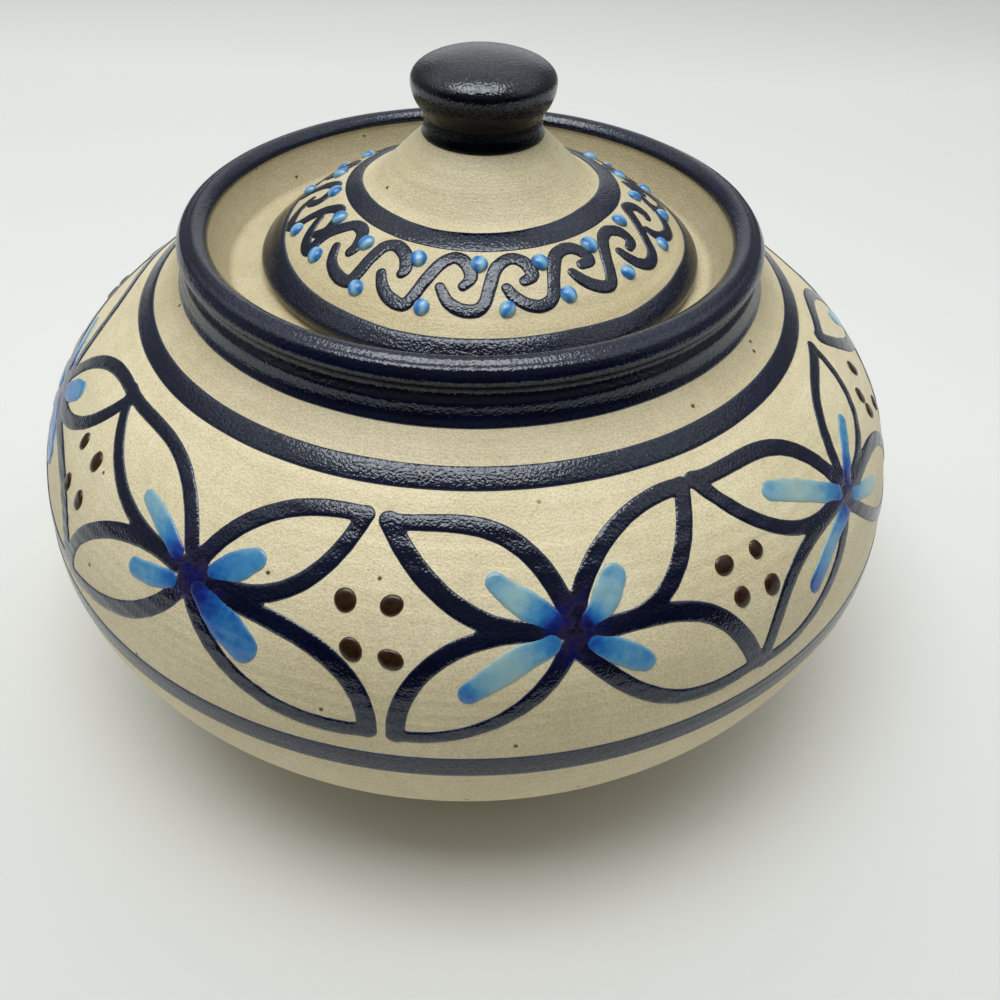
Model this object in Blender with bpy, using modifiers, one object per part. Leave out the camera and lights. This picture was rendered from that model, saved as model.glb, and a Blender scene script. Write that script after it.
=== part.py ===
"""Lidded stoneware jar: a thrown pot with a collar, a domed lid that drops into it, and its knob.

Metres, +Z up. The origin is the middle of the foot ring, on the surface that the jar stands on.
Every piece is turned: a profile from the axis, round its outer side from top to bottom, and back.
"""

import math

import bpy
from mathutils import Vector
from mathutils.geometry import interpolate_bezier

# Pot: heights are above the surface it stands on, unless they say what they are measured from
POT_HEIGHT = 0.0828
LIP_RADIUS = 0.0470
LIP_WIDTH = 0.0042
LIP_THICKNESS = 0.0032
LIP_START_ANGLE = 180.0
LIP_END_ANGLE = -40.0
NECK_DEPTH = 0.0008
CREASE_RADIUS = 0.0469
CREASE_BELOW_LIP = 0.0052
SHOULDER_RADIUS = 0.0480
SHOULDER_BELOW_LIP = 0.0082
SHOULDER_SLOPE = math.radians(34.0)
BELLY_RADIUS = 0.0751
BELLY_HEIGHT = 0.0376
BASE_SLOPE = math.radians(14.0)
POT_WALL = 0.0050

# How far a curve's handles reach along the way between its ends
NECK_FULLNESS = 1.0 / 3.0
FLARE_FULLNESS = 0.5
SHOULDER_FULLNESS = 0.77
UPPER_BELLY_FULLNESS = 0.53
LOWER_BELLY_FULLNESS = 0.40
BASE_FULLNESS = 0.61
CONE_FULLNESS = 0.45
CONE_END_FULLNESS = 0.22
DOME_FULLNESS = 0.33
KNOB_CROWN_FULLNESS = 0.54
KNOB_RIM_FULLNESS = 0.63
KNOB_UNDER_FULLNESS = 0.57
KNOB_NECK_FULLNESS = 0.24
KNOB_FLARE_FULLNESS = 0.5

# Foot ring
FOOT_RADIUS = 0.0396
FOOT_WIDTH = 0.0056
FOOT_HEIGHT = 0.0016
FOOT_STEP = 0.0008
RECESS_DEPTH = 0.0014
FLOOR_THICKNESS = 0.0050

# Gallery inside the collar, where the lid sits
SEAT_BELOW_LIP = 0.0075
SEAT_RADIUS = 0.0396
SEAT_FILLET = 0.0014
THROAT_RADIUS = 0.0328
THROAT_FILLET = 0.0010
GALLERY_THICKNESS = 0.0050

# Lid: the skirt drops into the throat with play all round, and the lid lies to one side of it
LID_RADIUS = 0.0358
LID_EDGE = 0.0016
LID_EDGE_FILLET = 0.0007
LID_EDGE_SLOPE = math.radians(42.0)
DOME_RISE = 0.0108
LID_STEP_RADIUS = 0.0190
LID_STEP_SLOPE = math.radians(17.0)
CONE_RISE = 0.0079
CONE_SLOPE = math.radians(40.0)
LID_WALL = 0.0050
LID_SHIFT = 0.0015
SKIRT_PLAY = 0.0024
SKIRT_DEPTH = 0.0045
SKIRT_WALL = 0.0038

# Knob
KNOB_RADIUS = 0.0112
KNOB_HEIGHT = 0.0120
KNOB_RIM_HEIGHT = 0.0078
KNOB_NECK_RADIUS = 0.0092
KNOB_NECK_HEIGHT = 0.0024
KNOB_FOOT_RADIUS = 0.0096
KNOB_SEAT_MARGIN = 0.0002

# Pieces that rest on each other keep this gap
REST_GAP = 0.0003

# Turning: steps round the axis, and points along each stretch of a profile
POT_STEPS = 64
LID_STEPS = 48
KNOB_STEPS = 36
OUTLINE_POINTS = 11
LIP_POINTS = 9
NECK_POINTS = 5
FLARE_POINTS = 4
CONE_POINTS = 8
CROWN_POINTS = 9
UNDER_POINTS = 7
FILLET_POINTS = 3
INSIDE_POINTS = 11
MERGE_DISTANCE = 0.00001
SMOOTH_ANGLE = math.radians(35.0)

CLAY_COLOUR = (0.624, 0.557, 0.376, 1.0)
LID_COLOUR = (0.597, 0.532, 0.350, 1.0)
SLIP_COLOUR = (0.020, 0.024, 0.036, 1.0)


def clear_scene():
    for obj in list(bpy.data.objects):
        bpy.data.objects.remove(obj, do_unlink=True)


def make_collection(name):
    collection = bpy.data.collections.new(name)
    bpy.context.scene.collection.children.link(collection)
    return collection


def make_material(name, colour, roughness):
    material = bpy.data.materials.new(name)
    material.use_nodes = True
    shader = material.node_tree.nodes["Principled BSDF"]
    shader.inputs["Base Color"].default_value = colour
    shader.inputs["Roughness"].default_value = roughness
    shader.inputs["Metallic"].default_value = 0.0
    return material


def point(radius, height):
    """A profile point: distance from the axis, and height."""
    return Vector((radius, 0.0, height))


def heading(angle, length):
    """A step outward and downward, at an angle below the horizontal."""
    return Vector((math.cos(angle) * length, 0.0, -math.sin(angle) * length))


def curve(start, start_handle, end_handle, end, count):
    """Points along a Bezier curve, with both its ends."""
    return interpolate_bezier(start, start_handle, end_handle, end, count)


def ellipse_arc(centre, radial, vertical, start, end, count):
    """Points along an ellipse from one angle to another, in degrees from +X towards +Z."""
    points = []
    for index in range(count):
        angle = math.radians(start + (end - start) * index / (count - 1))
        points.append(centre + point(radial * math.cos(angle), vertical * math.sin(angle)))
    return points


def fillet(before, corner, after, radius):
    """Points of an arc that rounds the corner between two straight runs."""
    back = (before - corner).normalized()
    onward = (after - corner).normalized()
    half = back.angle(onward) / 2.0
    reach = radius / math.tan(half)
    centre = corner + (back + onward).normalized() * (radius / math.sin(half))
    first = (corner + back * reach - centre).normalized()
    last = (corner + onward * reach - centre).normalized()
    shares = [index / (FILLET_POINTS - 1) for index in range(FILLET_POINTS)]
    return [centre + first.slerp(last, share) * radius for share in shares]


def inset(points, depth):
    """The same run of points moved towards the solid's inside, square to the run."""
    moved = []
    for index, here in enumerate(points):
        ahead = points[min(index + 1, len(points) - 1)]
        behind = points[max(index - 1, 0)]
        along = (ahead - behind).normalized()
        moved.append(here + Vector((along.z, 0.0, -along.x)) * depth)
    return moved


def pot_lip():
    """The rounded lip, from its inner edge over the crown to its under side."""
    radial = LIP_WIDTH / 2.0
    vertical = LIP_THICKNESS / 2.0
    centre = point(LIP_RADIUS - radial, POT_HEIGHT - vertical)
    return ellipse_arc(centre, radial, vertical, LIP_START_ANGLE, LIP_END_ANGLE, LIP_POINTS)


def pot_neck(start):
    """The shallow hollow under the lip, down to the crease and out to the shoulder."""
    crease = point(CREASE_RADIUS, POT_HEIGHT - CREASE_BELOW_LIP)
    shoulder = point(SHOULDER_RADIUS, POT_HEIGHT - SHOULDER_BELOW_LIP)
    reach = (start.z - crease.z) * NECK_FULLNESS
    hollow_radius = min(start.x, crease.x) - NECK_DEPTH
    hollow_top = point(hollow_radius, start.z - reach)
    hollow_foot = point(hollow_radius, crease.z + reach)
    hollow = curve(start, hollow_top, hollow_foot, crease, NECK_POINTS)
    flare_top = crease - point(0.0, (crease.z - shoulder.z) * FLARE_FULLNESS)
    flare_foot = shoulder - heading(SHOULDER_SLOPE, (shoulder.x - crease.x) * FLARE_FULLNESS)
    flare = curve(crease, flare_top, flare_foot, shoulder, FLARE_POINTS)
    return hollow[1:] + flare[1:]


def pot_shoulder():
    """The outline from the shoulder's top down to the widest part of the belly."""
    top = point(SHOULDER_RADIUS, POT_HEIGHT - SHOULDER_BELOW_LIP)
    belly = point(BELLY_RADIUS, BELLY_HEIGHT)
    reach = (belly.x - top.x) * SHOULDER_FULLNESS
    rise = (top.z - belly.z) * UPPER_BELLY_FULLNESS
    start_handle = top + heading(SHOULDER_SLOPE, reach)
    return curve(top, start_handle, belly + point(0.0, rise), belly, OUTLINE_POINTS)


def pot_base():
    """The outline from the belly down and in to the foot ring."""
    belly = point(BELLY_RADIUS, BELLY_HEIGHT)
    end = point(FOOT_RADIUS + FOOT_STEP, FOOT_HEIGHT)
    drop = (belly.z - end.z) * LOWER_BELLY_FULLNESS
    reach = (belly.x - end.x) * BASE_FULLNESS
    end_handle = end + heading(-BASE_SLOPE, reach)
    return curve(belly, belly - point(0.0, drop), end_handle, end, OUTLINE_POINTS)


def pot_foot():
    """The foot ring that the jar stands on, and the recess inside it."""
    inner_radius = FOOT_RADIUS - FOOT_WIDTH
    return [
        point(FOOT_RADIUS, FOOT_HEIGHT / 2.0),
        point(FOOT_RADIUS, 0.0),
        point(inner_radius, 0.0),
        point(inner_radius - RECESS_DEPTH / 2.0, RECESS_DEPTH),
        point(0.0, RECESS_DEPTH),
    ]


def pot_inside(outline, lip_start):
    """The inside, from the middle of the floor up to the lip: floor, wall, throat and seat."""
    run = inset(outline, POT_WALL)
    share = (len(run) - 1) / (INSIDE_POINTS - 1)
    wall = [run[round(index * share)] for index in range(INSIDE_POINTS)]
    wall.reverse()
    seat_height = POT_HEIGHT - SEAT_BELOW_LIP
    under_height = seat_height - GALLERY_THICKNESS
    throat_under = point(THROAT_RADIUS, under_height)
    throat_top = point(THROAT_RADIUS, seat_height)
    seat_corner = point(SEAT_RADIUS, seat_height)
    floor = [point(0.0, RECESS_DEPTH + FLOOR_THICKNESS)]
    lower = fillet(wall[-1], throat_under, throat_top, THROAT_FILLET)
    upper = fillet(throat_under, throat_top, seat_corner, THROAT_FILLET)
    seat = fillet(throat_top, seat_corner, lip_start, SEAT_FILLET)
    return floor + wall + lower + upper + seat


def pot_profile():
    lip = pot_lip()
    neck = pot_neck(lip[-1])
    outline = pot_shoulder() + pot_base()[1:]
    return pot_inside(outline, lip[0]) + lip + neck + outline[1:] + pot_foot()


def lid_outline():
    """The lid's upper surface: cone, flat step and dome, down to its edge; the seat plane is 0."""
    step_height = LID_EDGE + DOME_RISE
    top = point(KNOB_FOOT_RADIUS + KNOB_SEAT_MARGIN, step_height + CONE_RISE)
    step = point(LID_STEP_RADIUS, step_height)
    edge = point(LID_RADIUS, LID_EDGE)
    cone_length = (step - top).length
    dome_reach = (edge - step).length * DOME_FULLNESS
    cone_handle = top + heading(CONE_SLOPE, cone_length * CONE_FULLNESS)
    step_handle = step - heading(LID_STEP_SLOPE, cone_length * CONE_END_FULLNESS)
    dome_handle = step + heading(LID_STEP_SLOPE, dome_reach)
    edge_handle = edge - heading(LID_EDGE_SLOPE, dome_reach)
    cone = curve(top, cone_handle, step_handle, step, CONE_POINTS)
    return cone + curve(step, dome_handle, edge_handle, edge, OUTLINE_POINTS)[1:]


def lid_profile():
    """The lid from its knob seat down to its edge, round the skirt, and back under the dome."""
    outline = lid_outline()
    skirt_radius = THROAT_RADIUS - SKIRT_PLAY
    hollow_radius = skirt_radius - SKIRT_WALL
    edge_under = point(LID_RADIUS, 0.0)
    skirt_top = point(skirt_radius, 0.0)
    edge = fillet(outline[-2], outline[-1], edge_under, LID_EDGE_FILLET)
    edge += fillet(outline[-1], edge_under, skirt_top, LID_EDGE_FILLET)
    ceiling = [here for here in inset(outline, LID_WALL) if here.x < hollow_radius - LID_EDGE_FILLET]
    ceiling.reverse()
    skirt = [
        skirt_top,
        point(skirt_radius, -SKIRT_DEPTH),
        point(hollow_radius, -SKIRT_DEPTH),
        point(hollow_radius, ceiling[0].z),
    ]
    top = point(0.0, outline[0].z)
    under = point(0.0, ceiling[-1].z)
    return [top] + outline[:-1] + edge + skirt + ceiling + [under]


def knob_profile():
    """The knob from its crown to its foot; its foot is height 0."""
    crown = point(0.0, KNOB_HEIGHT)
    rim = point(KNOB_RADIUS, KNOB_RIM_HEIGHT)
    neck = point(KNOB_NECK_RADIUS, KNOB_NECK_HEIGHT)
    foot = point(KNOB_FOOT_RADIUS, 0.0)
    rim_rise = (KNOB_HEIGHT - KNOB_RIM_HEIGHT) * KNOB_RIM_FULLNESS
    fall = KNOB_RIM_HEIGHT - KNOB_NECK_HEIGHT
    crown_handle = crown + point(KNOB_RADIUS * KNOB_CROWN_FULLNESS, 0.0)
    under_handle = rim - point(0.0, fall * KNOB_UNDER_FULLNESS)
    neck_handle = neck + point(0.0, fall * KNOB_NECK_FULLNESS)
    flare_handle = neck - point(0.0, KNOB_NECK_HEIGHT * KNOB_FLARE_FULLNESS)
    dome = curve(crown, crown_handle, rim + point(0.0, rim_rise), rim, CROWN_POINTS)
    under = curve(rim, under_handle, neck_handle, neck, UNDER_POINTS)
    flare = curve(neck, flare_handle, flare_handle, foot, FLARE_POINTS)
    return dome + under[1:] + flare[1:] + [point(0.0, 0.0)]


def turn(name, profile, steps, material, collection):
    """One turned piece: the profile as an open polyline, swept round Z by a Screw modifier."""
    mesh = bpy.data.meshes.new(name)
    edges = [(index, index + 1) for index in range(len(profile) - 1)]
    mesh.from_pydata(profile, edges, [])
    mesh.materials.append(material)
    obj = bpy.data.objects.new(name, mesh)
    collection.objects.link(obj)
    screw = obj.modifiers.new("Turn", "SCREW")
    screw.axis = "Z"
    screw.angle = math.tau
    screw.steps = steps
    screw.render_steps = steps
    screw.use_merge_vertices = True
    screw.merge_threshold = MERGE_DISTANCE
    finished = bpy.data.meshes.new_from_object(obj.evaluated_get(bpy.context.evaluated_depsgraph_get()))
    finished.name = name
    obj.modifiers.clear()
    obj.data = finished
    bpy.data.meshes.remove(mesh)
    finished.shade_smooth()
    finished.set_sharp_from_angle(angle=SMOOTH_ANGLE)
    return obj


def build():
    clear_scene()
    jar = make_collection("lidded_jar")
    buff_clay = make_material("buff_clay", CLAY_COLOUR, 0.7)
    lid_clay = make_material("lid_clay", LID_COLOUR, 0.7)
    dark_glaze = make_material("dark_glaze", SLIP_COLOUR, 0.3)

    turn("jar_body", pot_profile(), POT_STEPS, buff_clay, jar)

    lid = turn("lid", lid_profile(), LID_STEPS, lid_clay, jar)
    lid.location = (LID_SHIFT, 0.0, POT_HEIGHT - SEAT_BELOW_LIP + REST_GAP)

    knob = turn("knob", knob_profile(), KNOB_STEPS, dark_glaze, jar)
    knob.parent = lid
    knob.location = (0.0, 0.0, LID_EDGE + DOME_RISE + CONE_RISE + REST_GAP)


build()
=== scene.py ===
"""Looks of the lidded jar: buff clay, painted slip and glaze as thin raised meshes, light and camera.

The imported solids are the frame. Every piece here is built round the same outlines, in metres, and
rides the body it belongs to. Painting is given in degrees of azimuth (0 faces the camera, positive
to its right) and millimetres of height, or of radius on the lid.
"""

import math
import random

import bpy
import numpy as np
from mathutils import Euler, Matrix, Vector
from mathutils.geometry import interpolate_bezier as curve


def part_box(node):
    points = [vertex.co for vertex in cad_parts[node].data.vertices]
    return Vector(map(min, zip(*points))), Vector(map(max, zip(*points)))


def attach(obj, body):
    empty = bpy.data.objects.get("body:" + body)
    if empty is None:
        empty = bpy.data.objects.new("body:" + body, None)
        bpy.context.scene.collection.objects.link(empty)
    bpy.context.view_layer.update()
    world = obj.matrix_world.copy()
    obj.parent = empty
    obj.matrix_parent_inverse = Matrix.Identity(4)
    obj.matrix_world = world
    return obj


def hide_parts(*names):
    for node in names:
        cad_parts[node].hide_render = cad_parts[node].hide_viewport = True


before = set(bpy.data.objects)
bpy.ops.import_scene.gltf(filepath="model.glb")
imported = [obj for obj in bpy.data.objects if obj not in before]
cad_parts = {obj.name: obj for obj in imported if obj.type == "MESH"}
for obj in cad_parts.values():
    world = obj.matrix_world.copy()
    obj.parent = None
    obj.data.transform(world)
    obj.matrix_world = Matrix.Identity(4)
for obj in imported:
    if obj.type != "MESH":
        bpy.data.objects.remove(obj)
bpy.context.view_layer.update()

MM = 0.001
DEGREE = math.pi / 180.0

# Outline of the pot, as the solids have it
pot_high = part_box("jar_body")[1]
lid_low, lid_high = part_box("lid")
knob_low, knob_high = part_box("knob")
POT_HEIGHT = pot_high.z
BELLY_RADIUS = pot_high.x
BELLY_HEIGHT = 0.0376
NECK_DEPTH = 0.0008
CREASE_RADIUS = 0.0469
CREASE_BELOW_LIP = 0.0052
SHOULDER_RADIUS = 0.0480
SHOULDER_BELOW_LIP = 0.0082
SHOULDER_SLOPE = 34.0 * DEGREE
FLARE_SLOPE = 46.0 * DEGREE
BASE_SLOPE = 14.0 * DEGREE
POT_WALL = 0.0050
FOOT_RADIUS = 0.0396
FOOT_WIDTH = 0.0056
FOOT_HEIGHT = 0.0016
FOOT_STEP = 0.0008
RECESS_DEPTH = 0.0014
FLOOR_THICKNESS = 0.0050
SEAT_BELOW_LIP = 0.0075
SEAT_RADIUS = 0.0396
SEAT_FILLET = 0.0014
THROAT_RADIUS = 0.0328
THROAT_FILLET = 0.0010
GALLERY_THICKNESS = 0.0050

# The lip, in millimetres from the axis and above the solids' top: a crown that falls to a shallow groove
LIP_SHAPE = [
    (42.50, -1.90), (42.52, -1.10), (42.70, -0.56), (43.15, -0.12), (43.70, 0.32), (44.20, 0.58),
    (44.75, 0.60), (45.20, 0.41), (45.56, 0.12), (45.82, 0.03), (46.10, 0.03), (46.32, -0.08),
    (46.54, -0.44), (46.92, -1.00), (47.18, -1.60), (47.15, -2.10), (46.85, -2.45), (46.55, -2.64),
]

# Outline of the lid and the knob
LID_SHIFT = (lid_low.x + lid_high.x) / 2.0
LID_RADIUS = (lid_high.x - lid_low.x) / 2.0
SEAT_PLAY = 0.0003
LID_SEAT = POT_HEIGHT - SEAT_BELOW_LIP + SEAT_PLAY
LID_TOP = lid_high.z
LID_EDGE = 0.0016
LID_EDGE_FILLET = 0.0007
LID_EDGE_SLOPE = 42.0 * DEGREE
DOME_RISE = 0.0108
LID_STEP_RADIUS = 0.0190
LID_STEP_SLOPE = 17.0 * DEGREE
CONE_SLOPE = 40.0 * DEGREE
LID_WALL = 0.0050
SKIRT_PLAY = 0.0024
SKIRT_RADIUS = THROAT_RADIUS - SKIRT_PLAY
SKIRT_WALL = 0.0038
KNOB_RADIUS = (knob_high.x - knob_low.x) / 2.0
KNOB_RIM_HEIGHT = 0.0078
KNOB_NECK_RADIUS = 0.0092
KNOB_NECK_HEIGHT = 0.0024
KNOB_FOOT_RADIUS = 0.0096
KNOB_SEAT_MARGIN = 0.0002

# How far a curve's handles reach along the way between its ends
NECK_FULLNESS = 1.0 / 3.0
FLARE_FULLNESS = 0.5
FLARE_TOP_FULLNESS = 0.60
FLARE_FOOT_FULLNESS = 0.50
SHOULDER_FULLNESS = 0.77
UPPER_BELLY_FULLNESS = 0.53
LOWER_BELLY_FULLNESS = 0.40
BASE_FULLNESS = 0.61
CONE_FULLNESS = 0.45
CONE_END_FULLNESS = 0.22
DOME_FULLNESS = 0.33
KNOB_CROWN_FULLNESS = 0.54
KNOB_RIM_FULLNESS = 0.63
KNOB_UNDER_FULLNESS = 0.57
KNOB_NECK_FULLNESS = 0.24

# Fineness of the turned pieces
TURN_STEPS = 288
LONG_CURVE = 110
SHORT_CURVE = 14
FILLET_POINTS = 5
WALL_STRIDE = 8
CEILING_STRIDE = 3


def point(radius, height):
    return Vector((radius, 0.0, height))


def heading(angle, length):
    """A vector that falls outward at an angle."""
    return Vector((math.cos(angle) * length, 0.0, -math.sin(angle) * length))


def smooth_path(points, finer):
    """Points along a curve through all the given points."""
    path = []
    last = len(points) - 1
    for k in range(last):
        near = [Vector(points[min(max(k + shift, 0), last)]) for shift in (-1, 0, 1, 2)]
        before, here, after, beyond = near
        for step in range(finer):
            t = step / finer
            bend = (2.0 * before - 5.0 * here + 4.0 * after - beyond) * t * t
            twist = (3.0 * here - before - 3.0 * after + beyond) * t * t * t
            path.append((2.0 * here + (after - before) * t + bend + twist) / 2.0)
    path.append(Vector(points[-1]))
    return path


def fillet(before, corner, after, radius):
    """The round arc that replaces a corner between two points."""
    back = (before - corner).normalized()
    onward = (after - corner).normalized()
    half = back.angle(onward) / 2.0
    reach = radius / math.tan(half)
    centre = corner + (back + onward).normalized() * (radius / math.sin(half))
    first = (corner + back * reach - centre).normalized()
    last = (corner + onward * reach - centre).normalized()
    shares = [index / (FILLET_POINTS - 1) for index in range(FILLET_POINTS)]
    return [centre + first.slerp(last, share) * radius for share in shares]


def inset(points, depth):
    """An outline moved inward by a depth."""
    moved = []
    for behind, here, ahead in zip(points[:1] + points, points, points[1:] + points[-1:]):
        along = (ahead - behind).normalized()
        moved.append(here + Vector((along.z, 0.0, -along.x)) * depth)
    return moved


def pot_collar():
    """The lip from its inner edge over the crown, and the neck down to the shoulder."""
    lip = [point(p.x * MM, POT_HEIGHT + p.y * MM) for p in smooth_path(LIP_SHAPE, 4)]
    crease = point(CREASE_RADIUS, POT_HEIGHT - CREASE_BELOW_LIP)
    shoulder = point(SHOULDER_RADIUS, POT_HEIGHT - SHOULDER_BELOW_LIP)
    start = lip[-1]
    reach = (start.z - crease.z) * NECK_FULLNESS
    hollow_radius = min(start.x, crease.x) - NECK_DEPTH
    hollow_top = point(hollow_radius, start.z - reach)
    hollow_foot = point(hollow_radius, crease.z + reach)
    hollow = curve(start, hollow_top, hollow_foot, crease, SHORT_CURVE)
    flare_top = crease - point(0.0, (crease.z - shoulder.z) * FLARE_TOP_FULLNESS)
    flare_foot = shoulder - heading(FLARE_SLOPE, (shoulder.x - crease.x) * FLARE_FOOT_FULLNESS)
    flare = curve(crease, flare_top, flare_foot, shoulder, SHORT_CURVE)
    return lip + hollow[1:] + flare[1:]


def pot_belly():
    """The shoulder, the belly and the base, down to the foot ring."""
    top = point(SHOULDER_RADIUS, POT_HEIGHT - SHOULDER_BELOW_LIP)
    belly = point(BELLY_RADIUS, BELLY_HEIGHT)
    end = point(FOOT_RADIUS + FOOT_STEP, FOOT_HEIGHT)
    start_handle = top + heading(SHOULDER_SLOPE, (belly.x - top.x) * SHOULDER_FULLNESS)
    rise = point(0.0, (top.z - belly.z) * UPPER_BELLY_FULLNESS)
    drop = point(0.0, (belly.z - end.z) * LOWER_BELLY_FULLNESS)
    end_handle = end + heading(-BASE_SLOPE, (belly.x - end.x) * BASE_FULLNESS)
    upper = curve(top, start_handle, belly + rise, belly, LONG_CURVE)
    lower = curve(belly, belly - drop, end_handle, end, LONG_CURVE)
    return upper + lower[1:]


def pot_profile():
    """The whole pot, from the middle of its floor up the inside, over the lip and down to the foot."""
    collar = pot_collar()
    belly = pot_belly()
    wall = inset(belly, POT_WALL)[::WALL_STRIDE]
    wall.reverse()
    seat_height = POT_HEIGHT - SEAT_BELOW_LIP
    throat_under = point(THROAT_RADIUS, seat_height - GALLERY_THICKNESS)
    throat_top = point(THROAT_RADIUS, seat_height)
    seat_corner = point(SEAT_RADIUS, seat_height)
    inside = [point(0.0, RECESS_DEPTH + FLOOR_THICKNESS)] + wall
    inside += fillet(wall[-1], throat_under, throat_top, THROAT_FILLET)
    inside += fillet(throat_under, throat_top, seat_corner, THROAT_FILLET)
    inside += fillet(throat_top, seat_corner, collar[0], SEAT_FILLET)
    inner_radius = FOOT_RADIUS - FOOT_WIDTH
    foot = [
        point(FOOT_RADIUS, FOOT_HEIGHT / 2.0),
        point(FOOT_RADIUS, 0.0),
        point(inner_radius, 0.0),
        point(inner_radius - RECESS_DEPTH / 2.0, RECESS_DEPTH),
        point(0.0, RECESS_DEPTH),
    ]
    return inside + collar + belly[1:] + foot


def lid_outline():
    """The lid's upper surface, from the knob's foot over the step and the dome to its edge."""
    step_height = LID_SEAT + LID_EDGE + DOME_RISE
    top = point(KNOB_FOOT_RADIUS + KNOB_SEAT_MARGIN, LID_TOP)
    step = point(LID_STEP_RADIUS, step_height)
    edge = point(LID_RADIUS, LID_SEAT + LID_EDGE)
    cone_length = (step - top).length
    dome_reach = (edge - step).length * DOME_FULLNESS
    cone_handle = top + heading(CONE_SLOPE, cone_length * CONE_FULLNESS)
    step_handle = step - heading(LID_STEP_SLOPE, cone_length * CONE_END_FULLNESS)
    dome_handle = step + heading(LID_STEP_SLOPE, dome_reach)
    edge_handle = edge - heading(LID_EDGE_SLOPE, dome_reach)
    cone = curve(top, cone_handle, step_handle, step, LONG_CURVE // 3)
    return cone + curve(step, dome_handle, edge_handle, edge, LONG_CURVE // 2)[1:]


def lid_rim(outline):
    """The rounded edge of the lid, down to its seat."""
    under = point(LID_RADIUS, LID_SEAT)
    inner = point(SKIRT_RADIUS, LID_SEAT)
    upper = fillet(outline[-2], outline[-1], under, LID_EDGE_FILLET)
    return upper + fillet(outline[-1], under, inner, LID_EDGE_FILLET)


def lid_profile():
    """The whole lid: top, edge, skirt and the hollow under the dome."""
    outline = lid_outline()
    hollow_radius = SKIRT_RADIUS - SKIRT_WALL
    skirt_foot = lid_low.z
    limit = hollow_radius - LID_EDGE_FILLET
    ceiling = [here for here in inset(outline, LID_WALL)[::CEILING_STRIDE] if here.x < limit]
    ceiling.reverse()
    skirt = [
        point(SKIRT_RADIUS, LID_SEAT),
        point(SKIRT_RADIUS, skirt_foot),
        point(hollow_radius, skirt_foot),
        point(hollow_radius, ceiling[0].z),
    ]
    top = [point(0.0, outline[0].z)]
    return top + outline[:-1] + lid_rim(outline) + skirt + ceiling + [point(0.0, ceiling[-1].z)]


def knob_profile():
    """The knob from its crown to its foot."""
    rise = knob_low.z
    crown = point(0.0, knob_high.z)
    rim = point(KNOB_RADIUS, rise + KNOB_RIM_HEIGHT)
    neck = point(KNOB_NECK_RADIUS, rise + KNOB_NECK_HEIGHT)
    foot = point(KNOB_FOOT_RADIUS, rise)
    rim_rise = point(0.0, (crown.z - rim.z) * KNOB_RIM_FULLNESS)
    fall = KNOB_RIM_HEIGHT - KNOB_NECK_HEIGHT
    under_handle = rim - point(0.0, fall * KNOB_UNDER_FULLNESS)
    neck_handle = neck + point(0.0, fall * KNOB_NECK_FULLNESS)
    flare_handle = neck - point(0.0, KNOB_NECK_HEIGHT * FLARE_FULLNESS)
    crown_handle = crown + point(KNOB_RADIUS * KNOB_CROWN_FULLNESS, 0.0)
    dome = curve(crown, crown_handle, rim + rim_rise, rim, 3 * SHORT_CURVE)
    under = curve(rim, under_handle, neck_handle, neck, 2 * SHORT_CURVE)
    flare = curve(neck, flare_handle, flare_handle, foot, SHORT_CURVE)
    return dome + under[1:] + flare[1:] + [point(0.0, rise)]


# Hand-thrown unevenness, inward only, in metres, and the pitch of the throwing spiral
SWELL = 0.00016
RIDGE = 0.00003
RIDGE_PITCH = 0.0019


def uneven(azimuth, height, radius):
    """How far the thrown surface lies inside the true outline: slow waves and a throwing spiral."""
    slow = np.sin(2.0 * azimuth + 1.3 + height * 40.0) + np.sin(3.0 * azimuth - 0.6 - height * 75.0)
    spiral = np.sin(2.0 * math.pi * height / RIDGE_PITCH + azimuth)
    spiral = spiral * (0.6 + 0.4 * np.sin(height * 310.0 + 2.0 * azimuth))
    depth = SWELL * (slow / 4.0 - 0.5) + RIDGE * (spiral - 1.0)
    return depth * np.clip(radius / (2.0 * KNOB_RADIUS), 0.0, 1.0)


class Surface:
    """A turned surface, measured by azimuth and by the way down its outline."""

    def __init__(self, outline, centre_x):
        self.radius = np.array([here.x for here in outline])
        self.height = np.array([here.z for here in outline])
        self.centre_x = centre_x
        self.way = np.r_[0.0, np.cumsum(np.hypot(np.diff(self.radius), np.diff(self.height)))]
        out = np.gradient(self.radius, self.way)
        up = np.gradient(self.height, self.way)
        size = np.hypot(out, up)
        self.normal_out = -up / size
        self.normal_up = out / size

    def place(self, azimuth, way, lift):
        """World positions for arrays of azimuth, way down the outline, and lift off the surface."""
        height = np.interp(way, self.way, self.height)
        radius = np.interp(way, self.way, self.radius)
        lift = lift + uneven(azimuth, height, radius)
        radius = radius + lift * np.interp(way, self.way, self.normal_out)
        height = height + lift * np.interp(way, self.way, self.normal_up)
        x = self.centre_x + radius * np.sin(azimuth)
        return np.stack([x, -radius * np.cos(azimuth), height], axis=-1)

    def radius_at(self, way):
        return np.interp(way, self.way, self.radius)

    def way_at_height(self, height):
        return np.interp(-height, -self.height, self.way)

    def way_at_radius(self, radius):
        return np.interp(radius, self.radius, self.way)


def make_object(name, points, faces, material, attributes=None):
    mesh = bpy.data.meshes.new(name)
    mesh.from_pydata([tuple(p) for p in points], [], faces)
    mesh.update()
    for key, values in (attributes or {}).items():
        layer = mesh.attributes.new(key, "FLOAT", "POINT")
        layer.data.foreach_set("value", np.asarray(values, dtype=np.float32))
    mesh.materials.append(material)
    mesh.shade_smooth()
    obj = bpy.data.objects.new(name, mesh)
    bpy.context.scene.collection.objects.link(obj)
    return obj


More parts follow.
